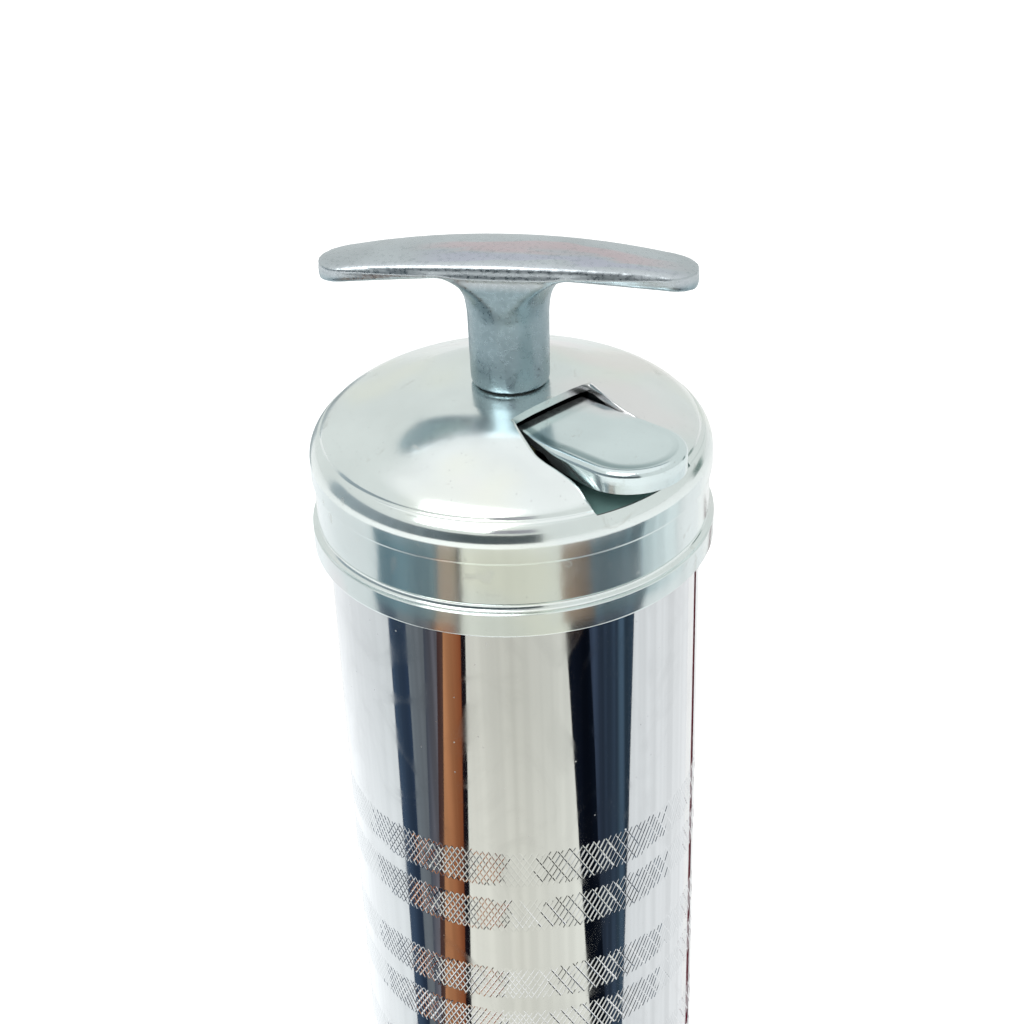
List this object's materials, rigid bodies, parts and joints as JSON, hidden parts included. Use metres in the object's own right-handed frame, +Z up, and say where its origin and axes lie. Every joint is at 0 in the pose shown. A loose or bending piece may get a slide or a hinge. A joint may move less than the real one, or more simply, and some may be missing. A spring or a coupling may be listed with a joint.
{
  "type": "pneumatic grease applicator",
  "caption": "Air-operated grease gun standing on its head: chromed barrel with rolled bands, domed cap with thumb latch, T-shaped pull handle, pistol grip with trigger and rigid pipe.",
  "frame": {"origin": "middle of the head's flat underside, on the barrel's axis", "axes": "+Z up the barrel's axis towards the pull handle, +X along the delivery pipe, -X towards the grip"},
  "size_m": [0.281, 0.0726, 0.3132],
  "materials": {
    "chrome_barrel": "mirror chrome with fine scuffs",
    "plated_cap": "bright zinc plate with a pale green tint",
    "cast_zinc": "satin die casting, mottled",
    "cast_head": "satin casting",
    "bright_steel": "bright turned steel",
    "spring_steel": "oiled spring wire",
    "black_paint": "satin black paint",
    "brass": "turned brass",
    "black_rubber": "matt rubber"
  },
  "bodies": {
    "gun": {"end_cap": "plated_cap", "latch_spring": "spring_steel", "spring_seat": "bright_steel", "rod_guide": "brass", "barrel": "chrome_barrel", "barrel_gasket": "black_rubber", "head_casting": "cast_head", "plunger_seal": "black_rubber", "packing_washer": "bright_steel", "return_spring": "spring_steel", "cylinder_cap": "cast_head", "trigger_pin": "bright_steel", "valve_guide": "brass", "valve_spring": "spring_steel", "air_inlet": "brass", "check_spring": "spring_steel", "outlet_fitting": "bright_steel", "delivery_pipe": "bright_steel", "coupler_body": "bright_steel", "coupler_sleeve": "bright_steel", "coupler_jaws": "bright_steel", "coupler_seal": "black_rubber", "bleed_screw": "brass", "follower_spring": "spring_steel"},
    "follower": {"follower_cup": "black_rubber", "upper_plate": "bright_steel", "lower_plate": "bright_steel"},
    "rod": {"pull_handle": "cast_zinc", "follower_rod": "bright_steel", "rod_nut": "bright_steel", "rod_collar": "bright_steel"},
    "latch": {"latch_lever": "plated_cap"},
    "trigger": {"trigger": "black_paint"},
    "valve": {"valve_stem": "bright_steel"},
    "pump": {"air_piston": "bright_steel", "piston_ring": "black_rubber", "plunger": "bright_steel"},
    "check": {"check_ball": "bright_steel"}
  },
  "joints": [
    {"name": "follower_slide", "type": "slide", "parent": "gun", "child": "follower", "axis": [0, 0, 1], "range_m": [0, 0.155], "stiffness_N_per_m": 300, "springref_m": -0.08, "deforming": ["follower_spring"]},
    {"name": "handle_spin", "type": "hinge", "parent": "follower", "child": "rod", "pos_m": [0, 0, 0.3], "axis": [0, 0, 1], "continuous": true},
    {"name": "latch_press", "type": "hinge", "parent": "gun", "child": "latch", "pos_m": [-0.00696, 0.00773, 0.2894], "axis": [0.7431, 0.6691, 0], "range_deg": [0, 2.2], "stiffness_Nm_per_rad": 1.5, "springref_deg": -5.73, "deforming": ["latch_spring"]},
    {"name": "trigger_pull", "type": "hinge", "parent": "gun", "child": "trigger", "pos_m": [-0.061, 0, 0.058], "axis": [0, -1, 0], "range_deg": [0, 8], "stiffness_Nm_per_rad": 1.5, "springref_deg": -8.59},
    {"name": "valve_push", "type": "slide", "parent": "gun", "child": "valve", "axis": [-0.9903, 0, -0.1392], "range_m": [0, 0.0032], "deforming": ["valve_spring"]},
    {"name": "pump_stroke", "type": "slide", "parent": "gun", "child": "pump", "axis": [1, 0, 0], "range_m": [0, 0.026], "stiffness_N_per_m": 800, "springref_m": -0.01, "deforming": ["return_spring"]},
    {"name": "check_lift", "type": "slide", "parent": "gun", "child": "check", "axis": [1, 0, 0], "range_m": [0, 0.002], "stiffness_N_per_m": 200, "springref_m": -0.003, "deforming": ["check_spring"]}
  ],
  "couplings": [
    {"joint": "valve_push", "follows": "trigger_pull", "m_per_rad": 0.0222}
  ]
}
